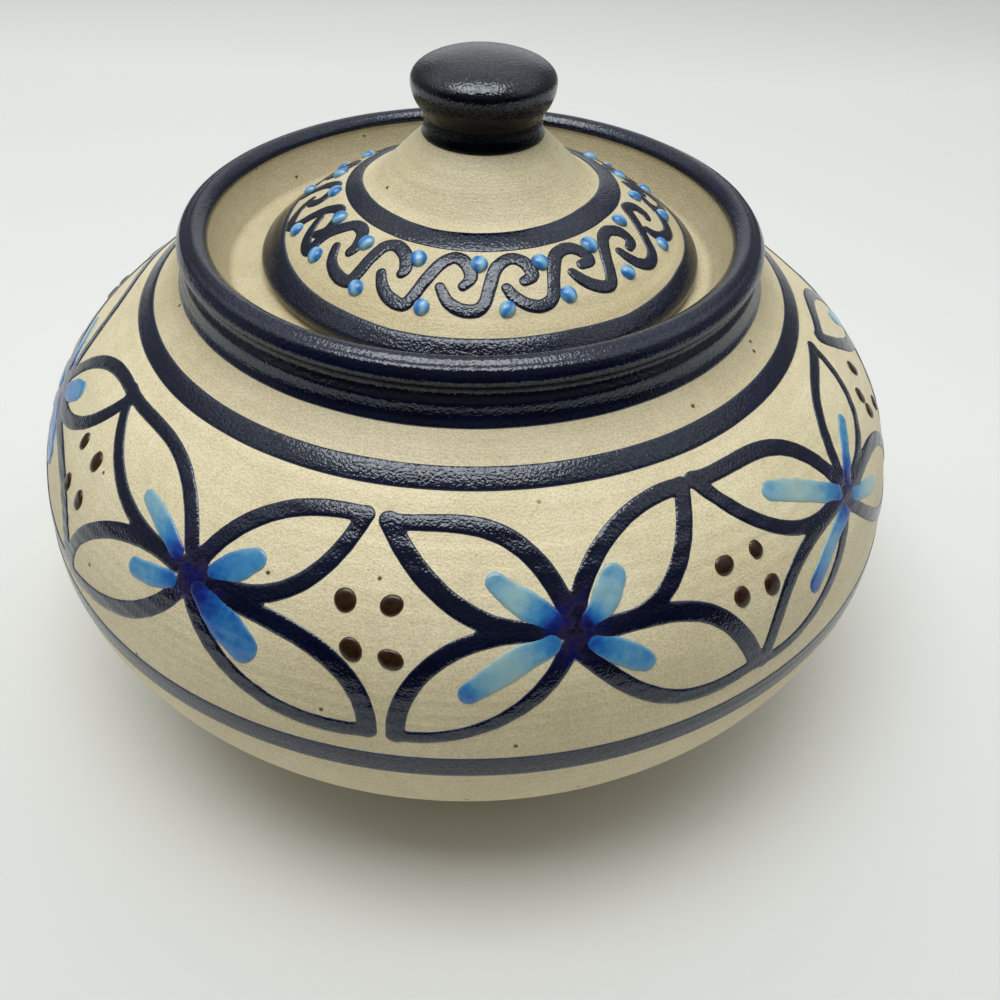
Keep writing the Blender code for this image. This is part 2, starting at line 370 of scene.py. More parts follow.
def ring_faces(rings, steps, closed):
    """Quads between rings of points round the jar, and from the last to the first where closed."""
    faces = []
    for ring in range(rings if closed else rings - 1):
        here = ring * steps
        below = (ring + 1) % rings * steps
        for column in range(steps):
            after = (column + 1) % steps
            faces.append((here + column, below + column, below + after, here + after))
    return faces


def revolve(name, profile, steps, centre_x, material, shares=None):
    """A closed turned piece. Its profile starts and ends on the axis, outer side downward."""
    surface = Surface(profile, centre_x)
    azimuths = np.arange(steps) * (2.0 * math.pi / steps)
    points = list(surface.place(azimuths[None, :], surface.way[1:-1, None], 0.0).reshape(-1, 3))
    points += [(centre_x, 0.0, profile[0].z), (centre_x, 0.0, profile[-1].z)]
    rings = len(profile) - 2
    first = rings * steps
    base = first - steps
    faces = ring_faces(rings, steps, False)
    for column in range(steps):
        after = (column + 1) % steps
        faces.append((first, column, after))
        faces.append((base + column, first + 1, base + after))
    attributes = {key: [share(p[2]) for p in points] for key, share in (shares or {}).items()}
    return make_object(name, points, faces, material, attributes)


WAVES_ROUND = (1, 2, 3, 5, 8, 13, 21, 34)


def wobble(azimuth, amplitude, seed):
    """A line drawn by hand round the jar: a few slow waves that close on themselves."""
    chance = random.Random(seed)
    total = np.zeros_like(azimuth)
    for turns in WAVES_ROUND:
        size = amplitude * chance.uniform(0.4, 1.0) / math.sqrt(turns)
        total += size * np.sin(turns * azimuth + chance.uniform(0.0, 2.0 * math.pi))
    return total


# The step at the edge of paint, and how deep paint reaches into the clay, in metres
STEP_UP = 0.00002
EMBED = 0.00010


def dome(depth, edge, height):
    """Height of slip above the clay: a small step at its edge, then round, then flat once past the edge."""
    share = np.clip(depth / edge, 0.0, 1.0)
    return STEP_UP + (height - STEP_UP) * np.sqrt(1.0 - (1.0 - share) ** 2)


# Bands: steps round the jar, distance between rows, waver of the edges in metres and of the
# thickness as a share, and the shares of the rounded edge that have a row
BAND_STEPS = 720
BAND_ROW = 0.0004
BAND_WAVER = 0.00005
THICKNESS_WAVER = 0.15
EDGE_ROWS = np.array([0.0, 0.05, 0.15, 0.32, 0.6])


def band(name, surface, start, end, height, edge, seed, material):
    """A closed band of slip with wavering edges. Start and end are lists of (degrees, way down)."""
    azimuth = np.arange(BAND_STEPS) * (2.0 * math.pi / BAND_STEPS)
    upper = np.interp(azimuth / DEGREE, *np.transpose(start), period=360.0)
    lower = np.interp(azimuth / DEGREE, *np.transpose(end), period=360.0)
    upper = upper + wobble(azimuth, BAND_WAVER, seed)
    lower = lower + wobble(azimuth, BAND_WAVER, seed + 1)
    rise = edge * EDGE_ROWS
    rows = max(4, int(((lower - upper).mean() - 2.0 * edge) / BAND_ROW))
    share = np.linspace(0.0, 1.0, rows)[:, None]
    middle = (upper + edge) * (1.0 - share) + (lower - edge) * share
    way = np.vstack([upper, upper + rise[:, None], middle, lower - rise[::-1, None], lower])
    depth = np.minimum(way - upper, lower - way)
    thick = 1.0 + wobble(azimuth, THICKNESS_WAVER, seed + 2)[None, :]
    lift = dome(depth, edge, height * thick)
    lift[[0, -1]] = -EMBED
    points = surface.place(np.broadcast_to(azimuth, way.shape), way, lift).reshape(-1, 3)
    faces = ring_faces(len(way), BAND_STEPS, True)
    edge_share = np.clip(depth / edge, 0.0, 1.0).reshape(-1)
    return make_object(name, points, faces, material, {"edge": edge_share, "pool": edge_share * 0.0})


# Over what distances paint that meets runs together, and the waves in its edges, in metres
STROKE_MERGE = 0.00035
FINE_MERGE = 0.0002
DROP_MERGE = 0.0001
EDGE_WAVES = (0.0023, 0.0034, 0.0052, 0.008, 0.012)


class Painting:
    """Brush strokes and drops on a turned surface, gathered as one field of depth inside their edges.

    Measure turns a height, or a radius on the lid, into a way down the surface's outline.
    """

    def __init__(self, surface, measure, top, bottom, cell):
        self.surface = surface
        self.measure = measure
        rows = int((measure(bottom) - measure(top)) / cell) + 1
        self.way = measure(top) + np.arange(rows) * cell
        self.columns = int(2.0 * math.pi * surface.radius_at(self.way).max() / cell)
        self.azimuth = (np.arange(self.columns) / self.columns - 0.5) * 2.0 * math.pi
        self.radius = surface.radius_at(self.way)[:, None]
        self.depth = np.full((rows, self.columns), -1.0)
        self.tone = np.zeros((rows, self.columns))

    def window(self, azimuths, ways, reach):
        """The grid's rows and columns within reach of some points."""
        first = max(0, np.searchsorted(self.way, min(ways) - reach))
        last = min(len(self.way), np.searchsorted(self.way, max(ways) + reach) + 1)
        spread = reach / self.radius[first:last].min()
        step = 2.0 * math.pi / self.columns
        left = int(math.floor((min(azimuths) - spread + math.pi) / step))
        right = int(math.ceil((max(azimuths) + spread + math.pi) / step))
        return slice(first, last), np.arange(left, right + 1) % self.columns

    def put(self, rows, columns, depth, tone, merge):
        """Adds depth to the field. Paint that meets runs together over the merge distance."""
        block = np.ix_(np.arange(rows.start, rows.stop), columns)
        gain = depth - self.depth[block]
        mix = np.clip(0.5 + 0.5 * gain / merge, 0.0, 1.0)
        self.depth[block] += mix * gain + merge * mix * (1.0 - mix)
        self.tone[block] += mix * (tone - self.tone[block])

    def stroke(self, places, widths, tones, merge):
        """A brush stroke through (degrees, millimetres) places, with a width and a tone at each."""
        azimuths = [across * DEGREE for across, _ in places]
        ways = [self.measure(down * MM) for _, down in places]
        reach = max(widths)
        rows, columns = self.window(azimuths, ways, reach)
        across = self.azimuth[columns][None, :]
        down = self.way[rows][:, None]
        radius = self.radius[rows]
        depth = np.full((len(down), len(columns)), -1.0)
        tone = np.zeros_like(depth)
        for k in range(len(azimuths) - 1):
            apart = (across - azimuths[k] + math.pi) % (2.0 * math.pi) - math.pi
            dx = apart * radius
            dy = down - ways[k]
            ex = (azimuths[k + 1] - azimuths[k]) * radius
            ey = ways[k + 1] - ways[k]
            share = np.clip((dx * ex + dy * ey) / (ex * ex + ey * ey + 1e-15), 0.0, 1.0)
            half = (widths[k] + share * (widths[k + 1] - widths[k])) / 2.0
            inside = half - np.hypot(dx - share * ex, dy - share * ey)
            better = inside > depth
            depth = np.where(better, inside, depth)
            tone = np.where(better, tones[k] + share * (tones[k + 1] - tones[k]), tone)
        self.put(rows, columns, depth, tone, merge)

    def drop(self, azimuth, down, long_half, short_half, lean, tone=0.0, streak=0.0):
        """An oval drop, in degrees and millimetres. Lean turns its long side from across, in radians."""
        azimuth, way = azimuth * DEGREE, self.measure(down * MM)
        long_half, short_half = long_half * MM, short_half * MM
        rows, columns = self.window([azimuth], [way], 1.5 * long_half)
        apart = (self.azimuth[columns][None, :] - azimuth + math.pi) % (2.0 * math.pi) - math.pi
        dx = apart * self.radius[rows]
        dy = self.way[rows][:, None] - way
        u = (dx * math.cos(lean) + dy * math.sin(lean)) / long_half
        v = (dy * math.cos(lean) - dx * math.sin(lean)) / short_half
        size = np.hypot(u, v) + 1e-9
        slope = np.hypot(u / long_half, v / short_half) / size
        tone = tone + streak * np.cos(4.6 * v + 3.0 * lean)
        self.put(rows, columns, (1.0 - size) / np.maximum(slope, 1e-9), tone, DROP_MERGE)

    def roughen(self, amplitude, seed):
        """Uneven edges, as a brush leaves them."""
        chance = random.Random(seed)
        x = self.azimuth[None, :] * self.radius
        y = np.broadcast_to(self.way[:, None], x.shape)
        noise = np.zeros_like(x)
        for length in EDGE_WAVES:
            angle = chance.uniform(0.0, math.pi)
            wave = 2.0 * math.pi / length
            phase = wave * (x * math.cos(angle) + y * math.sin(angle)) + chance.uniform(0.0, 6.28)
            noise += np.sin(phase + 1.7 * np.sin(0.37 * phase))
        self.depth += amplitude * noise / 2.4

    def mesh(self, name, height, edge, material):
        """One closed mesh of all the paint: the field cut at its edge, domed above, flat below."""
        corner_steps = ((0, 0), (1, 0), (1, 1), (0, 1))
        rows, columns = self.depth.shape
        inside = self.depth > 0.0
        beside = inside | np.roll(inside, -1, axis=1)
        vertices = {}

        def vertex(key, *values):
            return vertices.setdefault(key, (len(vertices), *values))[0]

        step = 2.0 * math.pi / columns
        depth, tone = self.depth, self.tone
        polygons = []
        for i, j in zip(*np.nonzero(beside[:-1] | beside[1:])):
            corners = [(i + di, (j + dj) % columns, j + dj) for di, dj in corner_steps]
            ring = []
            for n, (r, c, turn) in enumerate(corners):
                r2, c2, turn2 = corners[(n + 1) % 4]
                d1, d2 = depth[r, c], depth[r2, c2]
                if d1 > 0.0:
                    ring.append(vertex((r, c), -math.pi + c * step, self.way[r], d1, tone[r, c]))
                if (d1 > 0.0) != (d2 > 0.0):
                    low, high = sorted(((r, c), (r2, c2)))
                    share = d1 / (d1 - d2)
                    azimuth = -math.pi + (turn + share * (turn2 - turn)) * step
                    way = self.way[r] + share * (self.way[r2] - self.way[r])
                    shade = tone[r, c] if d1 > 0.0 else tone[r2, c2]
                    ring.append(vertex((*low, *high), azimuth, way, 0.0, shade))
            if len(ring) > 2:
                polygons.append(ring)
        count = len(vertices)
        _, azimuths, ways, depths, tones = np.array(list(vertices.values())).T
        upper = self.surface.place(azimuths, ways, dome(depths, edge, height))
        lower = self.surface.place(azimuths, ways, np.full(count, -EMBED))
        faces = polygons + [[k + count for k in reversed(ring)] for ring in polygons]
        sides = {(ring[n - 1], ring[n]) for ring in polygons for n in range(len(ring))}
        faces += [(b, a, a + count, b + count) for a, b in sides if (b, a) not in sides]
        edges = np.clip(depths / edge, 0.0, 1.0)
        attributes = {"edge": np.r_[edges, edges], "pool": np.r_[tones, tones]}
        return make_object(name, np.vstack([upper, lower]), faces, material, attributes)


def srgb(red, green, blue):
    """A colour given as it looks on screen, 0 to 255, as linear values."""
    shares = [value / 255.0 for value in (red, green, blue)]
    linear = [s / 12.92 if s <= 0.04045 else ((s + 0.055) / 1.055) ** 2.4 for s in shares]
    return (*linear, 1.0)


class Shading:
    """Nodes of a material or of the world. What goes into one is a value or another node's socket."""

    def __init__(self, owner, coordinates="Object"):
        owner.use_nodes = True
        self.owner = owner
        self.tree = owner.node_tree
        self.place = self.node("ShaderNodeTexCoord").outputs[coordinates]

    def feed(self, socket, value):
        if isinstance(value, bpy.types.NodeSocket):
            self.tree.links.new(value, socket)
        else:
            socket.default_value = value

    def node(self, kind, inputs=None, **settings):
        made = self.tree.nodes.new(kind)
        for key, value in settings.items():
            setattr(made, key, value)
        for key, value in (inputs or {}).items():
            self.feed(made.inputs[key], value)
        return made

    def surface(self, key, value):
        """Sets one input of the material's shader."""
        self.feed(self.tree.nodes["Principled BSDF"].inputs[key], value)

    def ramp(self, factor, *stops):
        """A ramp from (position, colour) stops, where a plain number is a grey."""
        made = self.node("ShaderNodeValToRGB", {"Fac": factor})
        elements = made.color_ramp.elements
        while len(elements) < len(stops):
            elements.new(0.5)
        for element, (position, colour) in zip(elements, stops):
            element.position = position
            element.color = colour if isinstance(colour, tuple) else (colour, colour, colour, 1.0)
        return made.outputs["Color"]

    def mix(self, factor, first, second, blend="MIX"):
        made = self.node("ShaderNodeMix", data_type="RGBA", blend_type=blend)
        sockets = {"Factor_Float": factor, "A_Color": first, "B_Color": second}
        for socket in made.inputs:
            if socket.identifier in sockets:
                self.feed(socket, sockets[socket.identifier])
        return next(s for s in made.outputs if s.identifier == "Result_Color")

    def times(self, first, second, factor=1.0):
        return self.mix(factor, first, second, "MULTIPLY")

    def maths(self, operation, first, second):
        return self.node("ShaderNodeMath", {0: first, 1: second}, operation=operation).outputs[0]

    def reach(self, operation, vector):
        """The dot product with a direction, or the distance from a spot."""
        inputs = {0: self.place, 1: vector}
        return self.node("ShaderNodeVectorMath", inputs, operation=operation).outputs["Value"]

    def smooth(self, value, low, high, foot, top):
        """A smooth step from foot, where the value is low, to top, where it is high."""
        inputs = {0: value, 1: low, 2: high, 3: foot, 4: top}
        return self.node("ShaderNodeMapRange", inputs, interpolation_type="SMOOTHSTEP").outputs[0]

    def noise(self, scale, detail, roughness, stretch=None):
        vector = self.place
        if stretch:
            vector = self.node("ShaderNodeMapping", {"Vector": vector, "Scale": stretch}).outputs["Vector"]
        inputs = {"Vector": vector, "Scale": scale, "Detail": detail, "Roughness": roughness}
        return self.node("ShaderNodeTexNoise", inputs).outputs["Fac"]

    def cells(self, scale):
        """The distance from scattered points."""
        return self.node("ShaderNodeTexVoronoi", {"Vector": self.place, "Scale": scale}).outputs["Distance"]

    def kept(self, key):
        """A value that the mesh keeps at each of its points."""
        return self.node("ShaderNodeAttribute", attribute_name=key).outputs["Fac"]

    def bumps(self, *layers):
        """Relief from (height, strength, distance) layers, the finest first."""
        below = {}
        for height, strength, distance in layers:
            inputs = {"Height": height, "Strength": strength, "Distance": distance, **below}
            below = {"Normal": self.node("ShaderNodeBump", inputs).outputs["Normal"]}
        self.surface("Normal", below["Normal"])


def new_look(name, roughness, specular):
    look = Shading(bpy.data.materials.new(name))
    look.surface("Roughness", roughness)
    look.surface("Specular IOR Level", specular)
    return look


def clay_material(name, light, dark, painted_light_and_shade):
    """Buff stoneware: mottled, finely specked, with throwing lines and a dry, slightly open grain, and
    painted light and shade that change with height.
    """
    look = new_look(name, 0.5, 0.38)
    cloud = look.noise(55.0, 4.0, 0.6)
    patch = look.noise(420.0, 3.0, 0.6)
    grain = look.noise(3000.0, 1.0, 0.6)
    lines = look.noise(1.0, 3.0, 0.65, (14.0, 14.0, 1100.0))
    height = look.node("ShaderNodeSeparateXYZ", {0: look.place}).outputs["Z"]
    colour = look.ramp(cloud, (0.35, dark), (0.65, light))
    colour = look.times(colour, look.ramp(patch, (0.3, 0.78), (0.7, 1.0)), 0.35)
    colour = look.times(colour, look.ramp(lines, (0.3, 0.80), (0.6, 1.0)), 0.30)
    colour = look.times(colour, look.ramp(grain, (0.36, (0.85, 0.83, 0.78, 1.0)), (0.60, 1.0)))
    # Painted light and shade: the clay's colour is scaled by height
    colour = look.times(colour, look.ramp(look.maths("DIVIDE", height, POT_HEIGHT), *painted_light_and_shade))
    rare = look.ramp(look.cells(210.0), (0.05, 1.0), (0.085, 0.0))
    sparse = look.ramp(look.noise(130.0, 0.0, 0.5), (0.52, 0.0), (0.56, 1.0))
    speck = look.times(rare, sparse)
    colour = look.mix(speck, colour, srgb(92, 74, 44))
    dust = look.ramp(look.cells(800.0), (0.07, 0.42), (0.15, 0.0))
    look.surface("Base Color", look.mix(dust, colour, srgb(168, 150, 108)))
    look.surface("Roughness", look.ramp(patch, (0.3, 0.38), (0.7, 0.52)))
    look.bumps((grain, 0.65, 0.00014), (lines, 0.30, 0.00020))
    return look.owner


def slip_material(name, dark, light):
    """Blue-black slip: satin, streaked by the brush, with a fine glitter and thinner, greyer edges."""
    look = new_look(name, 0.30, 0.42)
    look.surface("Specular Tint", (0.88, 0.94, 1.0, 1.0))
    cloud = look.noise(160.0, 3.0, 0.6)
    streak = look.noise(1.0, 3.0, 0.6, (60.0, 60.0, 1500.0))
    fleck = look.noise(2500.0, 1.0, 0.5)
    glitter = look.noise(3000.0, 1.0, 0.6, (0.7, 0.7, 1.0))
    grain = look.noise(900.0, 2.0, 0.6)
    blotch = look.noise(420.0, 2.0, 0.5)
    colour = look.ramp(cloud, (0.35, dark), (0.70, light))
    plum = look.ramp(blotch, (0.40, srgb(14, 14, 84)), (0.52, srgb(40, 32, 60)), (0.62, srgb(9, 8, 40)))
    colour = look.mix(look.kept("pool"), colour, plum)
    thin = look.ramp(look.kept("edge"), (0.0, 0.55), (0.32, 0.0))
    look.surface("Base Color", look.mix(thin, colour, srgb(84, 92, 118)))
    look.surface("Roughness", look.ramp(fleck, (0.36, 0.10), (0.62, 0.17)))
    glint = look.ramp(glitter, (0.38, 0.52), (0.62, 0.80))
    wet = look.ramp(look.kept("dry"), (0.0, 1.0), (1.0, 0.2))
    look.surface("Specular IOR Level", look.times(glint, wet))
    look.bumps((fleck, 0.75, 0.00010), (grain, 0.20, 0.00010), (streak, 0.25, 0.00008))
    return look.owner


def blue_material(name, *stops):
    """Light blue glaze: glossy, pale where thin, deep where it pools."""
    look = new_look(name, 0.22, 0.6)
    cloud = look.noise(700.0, 3.0, 0.6)
    pool = look.kept("pool")
    drift = look.maths("MULTIPLY", look.maths("SUBTRACT", cloud, 0.5), 0.35)
    colour = look.ramp(look.maths("ADD", pool, drift), *stops)
    thin = look.ramp(look.kept("edge"), (0.0, 0.5), (0.5, 0.0))
    thin = look.times(thin, look.ramp(pool, (0.50, 1.0), (0.80, 0.0)))
    look.surface("Base Color", look.mix(thin, colour, srgb(160, 182, 172)))
    look.bumps((cloud, 0.25, 0.00010))
    return look.owner


def brown_material(name):
    """Glossy brown glaze, nearly black in the middle of a drop."""
    look = new_look(name, 0.24, 0.45)
    cloud = look.noise(900.0, 3.0, 0.6)
    colour = look.ramp(cloud, (0.3, srgb(28, 13, 3)), (0.7, srgb(56, 31, 8)))
    thin = look.ramp(look.kept("edge"), (0.0, 0.35), (0.3, 0.0))
    look.surface("Base Color", look.mix(thin, colour, srgb(104, 72, 36)))
    look.bumps((cloud, 0.3, 0.00010))
    return look.owner


# Painted light and shade on the clay at shares of the pot's height: pale low down and on the shoulder,
# painted shade below the collar and inside the lip, and painted shade over the lid
POT_PAINTED_LIGHT_AND_SHADE = [
    (0.30, (1.0, 0.965, 0.92, 1.0)), (0.45, (0.98, 0.95, 0.905, 1.0)), (0.60, (0.88, 0.865, 0.84, 1.0)),
    (0.72, 0.95), (0.80, 1.0), (0.84, 1.0), (0.89, (0.745, 0.73, 0.705, 1.0)),
]
LID_PAINTED_SHADE = [(0.90, (0.80, 0.785, 0.76, 1.0)), (0.97, (0.82, 0.805, 0.77, 1.0)), (1.0, 0.89)]
clay = clay_material("clay", srgb(253, 241, 203), srgb(241, 228, 187), POT_PAINTED_LIGHT_AND_SHADE)
lid_clay = clay_material("lid_clay", srgb(251, 238, 198), srgb(238, 224, 181), LID_PAINTED_SHADE)
slip = slip_material("slip", srgb(2, 5, 28), srgb(6, 13, 42))
knob_slip = slip_material("knob_slip", srgb(2, 4, 12), srgb(7, 9, 18))
blue_glaze = blue_material(
    "blue_glaze", (0.0, srgb(174, 194, 180)), (0.27, srgb(138, 180, 190)), (0.54, srgb(64, 138, 186)),
    (0.72, srgb(28, 96, 168)), (0.86, srgb(18, 40, 130)), (1.0, srgb(10, 12, 58)),
)
bead_glaze = blue_material(
    "bead_glaze", (0.2, srgb(176, 208, 216)), (0.5, srgb(96, 172, 226)), (0.9, srgb(38, 104, 184))
)
brown_glaze = brown_material("brown_glaze")

pot = Surface(pot_belly(), 0.0)
collar = Surface(pot_collar() + pot_belly()[1:LONG_CURVE // 2], 0.0)
lid_face = Surface(lid_outline()[:-1] + lid_rim(lid_outline()), LID_SHIFT)

# Flowers, each a centre, the strokes of its petals' sides, and its blue daubs. Strokes are four
# points of a smooth curve and widths at its ends and middle, in degrees to the right of the centre
# and millimetres above it. Daubs are points with a width and a depth of colour at each.
FLOWER_A = ((-30.9, 58.1), [
    ((1.1, 1.3), (4.4, 9.0), (13.9, 9.5), (19.8, 9.3), (2.7, 2.5, 2.2)),
    ((2.4, 0.4), (9.7, -1.5), (16.2, 3.0), (19.8, 9.3), (2.5, 2.5, 2.3)),
    ((4.0, -0.9), (12.0, -1.6), (22.9, -1.8), (22.8, -13.7), (2.6, 2.8, 2.7)),
    ((0.9, -2.2), (6.5, -11.1), (13.7, -15.3), (22.8, -13.7), (2.4, 2.6, 2.4)),
    ((-0.6, 2.0), (-6.4, 11.5), (-17.8, 8.6), (-26.4, 9.2), (2.5, 2.1, 2.2)),
    ((-2.5, 0.3), (-10.8, 0.1), (-19.3, 4.0), (-26.4, 9.2), (2.5, 2.3, 2.1)),
    ((-1.9, -0.2), (-10.1, 1.6), (-21.7, -3.9), (-21.5, -15.1), (2.6, 2.6, 2.3)),
    ((-0.1, -2.0), (-4.7, -10.3), (-13.5, -13.7), (-21.5, -15.1), (2.8, 2.6, 2.1)),
], [
    ((3.2, 0.8, 1.6, 0.76), (5.6, 2.1, 3.6, 0.60), (7.8, 3.4, 2.8, 0.54)),
    ((2.2, -1.6, 2.4, 0.92), (5.9, -3.9, 4.5, 0.68), (8.7, -5.9, 4.3, 0.64)),
    ((-2.5, 1.0, 2.0, 0.86), (-6.2, 2.8, 2.3, 0.42), (-9.9, 3.9, 1.6, 0.30)),
    ((-1.8, -2.2, 2.0, 0.72), (-4.9, -3.0, 2.7, 0.50), (-7.4, -3.4, 2.4, 0.54)),
])
FLOWER_B = ((13.3, 57.6), [
    ((0.7, 2.4), (3.2, 8.8), (12.5, 10.5), (18.0, 9.9), (2.6, 2.4, 2.4)),
    ((1.7, 0.2), (9.5, -1.6), (14.4, 3.6), (18.0, 9.9), (2.5, 2.5, 2.5)),
    ((1.7, -0.4), (13.1, 0.3), (18.2, 0.0), (21.6, -12.5), (2.9, 2.8, 2.8)),
    ((0.1, -1.8), (7.2, -10.1), (10.7, -15.1), (21.6, -12.5), (2.6, 2.5, 2.3)),
    ((-0.3, 1.6), (-3.7, 12.0), (-14.6, 9.4), (-21.4, 9.6), (2.7, 2.7, 2.0)),
    ((-2.1, 0.4), (-9.9, -0.2), (-16.0, 4.8), (-21.4, 9.6), (2.5, 2.8, 2.7)),
    ((-2.1, 0.0), (-11.1, 1.4), (-18.7, -2.4), (-18.5, -13.5), (2.4, 2.5, 2.6)),
    ((-0.9, -2.1), (-4.5, -9.3), (-11.8, -14.3), (-18.5, -13.5), (2.7, 2.0, 2.0)),
], [
    ((1.6, 0.7, 1.6, 0.94), (3.3, 1.8, 2.8, 0.44), (4.4, 3.1, 3.3, 0.28), (5.4, 4.4, 2.8, 0.40)),
    ((2.2, -1.7, 2.1, 0.74), (4.4, -3.0, 3.0, 0.50), (6.2, -4.2, 3.0, 0.50), (7.5, -5.3, 2.2, 0.54)),
    ((-2.2, 1.2, 2.4, 0.90), (-4.4, 2.6, 3.2, 0.46), (-6.2, 3.7, 3.0, 0.22), (-8.2, 5.0, 2.1, 0.42)),
    ((-2.6, -1.1, 2.4, 0.64), (-6.1, -2.7, 3.2, 0.24), (-8.8, -4.6, 3.0, 0.28), (-11.1, -6.4, 2.3, 0.66)),
])
FLOWER_C = ((56.7, 57.2), [
    ((0.5, 2.0), (2.7, 10.4), (12.3, 9.7), (18.3, 10.8), (2.5, 2.1, 2.4)),
    ((1.9, 0.6), (8.1, 0.8), (16.5, 3.6), (18.3, 10.8), (2.0, 1.8, 2.0)),
    ((1.7, -0.4), (12.6, 0.6), (18.4, -0.6), (21.3, -12.7), (2.6, 2.5, 2.4)),
    ((0.1, -1.8), (6.6, -9.6), (11.6, -14.9), (21.3, -12.7), (2.4, 2.3, 2.2)),
    ((-0.7, 2.1), (-4.4, 12.5), (-15.7, 9.5), (-23.4, 10.4), (2.7, 2.6, 2.4)),
    ((-2.3, 1.0), (-10.6, -1.1), (-17.7, 4.6), (-23.4, 10.4), (2.3, 2.2, 2.3)),
    ((-1.6, 0.3), (-12.8, 0.4), (-17.2, -1.6), (-20.7, -12.7), (2.4, 2.4, 2.4)),
    ((-1.6, -1.3), (-6.9, -7.3), (-12.5, -13.5), (-20.7, -12.7), (2.3, 2.1, 1.8)),
], [
    ((1.4, 1.0, 1.8, 0.90), (5.8, 3.9, 1.8, 0.55), (8.6, 5.2, 1.7, 0.50)),
    ((1.6, -1.2, 2.0, 0.60), (5.5, -3.0, 2.2, 0.20), (7.9, -4.2, 2.2, 0.15)),
    ((-2.0, 1.2, 2.4, 0.70), (-8.4, 4.7, 2.8, 0.12), (-12.9, 6.4, 2.6, 0.40)),
    ((-2.0, -1.6, 2.0, 0.80), (-7.1, -3.2, 2.2, 0.40), (-11.3, -6.2, 2.4, 0.75)),
])

# Centres of the flowers out of sight, and the strokes that pool in the middle of every flower
HIDDEN_FLOWERS = [(-76.0, 58.0), (101.0, 57.5), (147.0, 57.8), (192.5, 57.6), (238.0, 57.4)]
POOL_STROKES = [
    ((-2.0, 0.2), (-0.8, 0.4), (0.8, -0.2), (1.9, -0.2), (1.8, 2.6, 1.8)),
    ((0.3, 1.7), (0.2, 0.8), (-0.3, -0.8), (-0.4, -1.7), (1.8, 2.4, 1.8)),
    ((0.2, -0.2), (1.0, -0.6), (2.2, -1.0), (3.4, -1.3), (1.8, 2.2, 1.8)),
]

# Dots: azimuth, height, half their length and breadth in millimetres, and lean in radians
BROWN_DOTS = [
    (-11.5, 60.2, 1.62, 1.46, 1.2), (-6.3, 60.3, 1.57, 1.40, -0.3),
    (-10.1, 55.3, 1.74, 1.46, 0.9), (-5.9, 54.8, 1.74, 1.29, 0.3),
    (32.6, 59.7, 1.57, 1.34, 0.0), (37.6, 59.6, 1.46, 1.23, 1.4),
    (38.3, 55.1, 1.68, 1.46, 1.2), (33.7, 55.6, 1.57, 1.40, 1.4),
    (-58.0, 60.2, 1.51, 1.12, 1.4), (-53.0, 60.3, 1.68, 1.34, 1.5),
    (-56.9, 54.8, 1.62, 1.23, 1.5), (-52.6, 55.1, 1.62, 1.23, 1.5),
    (80.2, 61.6, 1.57, 1.34, 1.4), (75.3, 60.2, 1.57, 1.29, 1.5),
    (75.0, 57.8, 1.51, 1.29, 1.3), (79.7, 55.6, 1.57, 1.34, 1.3),
]

# Middles of the gaps out of sight, and the places of their dots from there
HIDDEN_GAPS = [124.0, 169.8, 215.3, 261.0]
GAP_DOTS = [(-2.7, 60.2), (2.6, 60.1), (-2.1, 55.2), (2.4, 55.0)]
GAP_DOT_LONG_HALF = 1.62
GAP_DOT_SHORT_HALF = 1.37

# The lid's running scroll: points of each S in degrees of azimuth and millimetres from the lid's axis
SCROLL_SHAPE = [
    (0.0, 27.9), (2.4, 29.4), (5.5, 30.5), (10.1, 31.0), (12.2, 29.9), (14.4, 27.5),
    (17.5, 24.9), (22.0, 23.5), (26.4, 24.5), (28.1, 26.4), (26.0, 27.7),
]
SCROLLS_SEEN = [
    [(-71.5, 26.4), (-68.7, 28.2), (-64.5, 29.6), (-60.5, 29.9), (-60.7, 28.2), (-59.2, 26.0),
     (-56.1, 24.2), (-52.3, 23.1), (-47.3, 23.6), (-44.9, 25.5), (-45.5, 26.7)],
    [(-52.1, 27.1), (-48.8, 29.0), (-43.5, 30.0), (-38.8, 30.0), (-37.5, 28.5), (-36.5, 25.9),
     (-34.6, 23.9), (-30.5, 23.2), (-25.5, 24.2), (-23.3, 26.0), (-23.8, 26.8)],
    [(-30.3, 27.5), (-27.8, 29.0), (-24.6, 30.1), (-19.9, 30.6), (-17.8, 29.4), (-15.6, 27.0),
     (-12.4, 24.5), (-7.7, 23.2), (-3.3, 24.1), (-1.6, 26.0), (-3.7, 27.2)],
    [(-10.6, 27.6), (-7.8, 29.3), (-3.9, 30.2), (0.4, 30.2), (2.8, 29.2), (4.4, 27.0),
     (6.9, 24.5), (11.8, 23.3), (16.4, 24.0), (18.2, 25.9), (15.2, 26.7)],
    [(9.4, 27.4), (11.3, 28.6), (15.2, 29.8), (19.3, 30.0), (22.7, 29.0), (24.9, 26.5),
     (28.7, 23.8), (34.3, 23.2), (38.4, 24.2), (39.7, 25.8), (36.0, 26.0)],
    [(31.5, 26.7), (33.3, 27.9), (36.4, 29.1), (40.3, 29.8), (43.1, 29.1), (46.7, 26.1),
     (51.3, 23.9), (56.7, 23.4), (61.1, 24.7), (61.3, 26.4), (58.1, 26.9)],
    [(53.2, 26.6), (54.2, 27.8), (56.7, 29.3), (60.5, 30.1), (65.4, 29.4), (69.4, 27.3),
     (73.8, 25.2), (78.2, 23.5), (82.8, 24.4), (83.3, 26.1), (81.7, 26.8)],
    [(74.0, 27.3), (75.0, 28.6), (78.9, 30.0), (84.4, 30.5), (91.1, 29.3), (94.5, 27.3),
     (98.8, 26.0), (102.7, 24.6), (103.0, 24.9), (104.0, 26.4), (102.0, 27.3)],
]
SCROLLS_HIDDEN = [94.0 + 21.95 * k for k in range(9)]
SCROLL_WIDTHS = [1.6, 2.0, 2.2, 2.1, 2.0, 2.1, 2.1, 2.2, 2.1, 1.7]

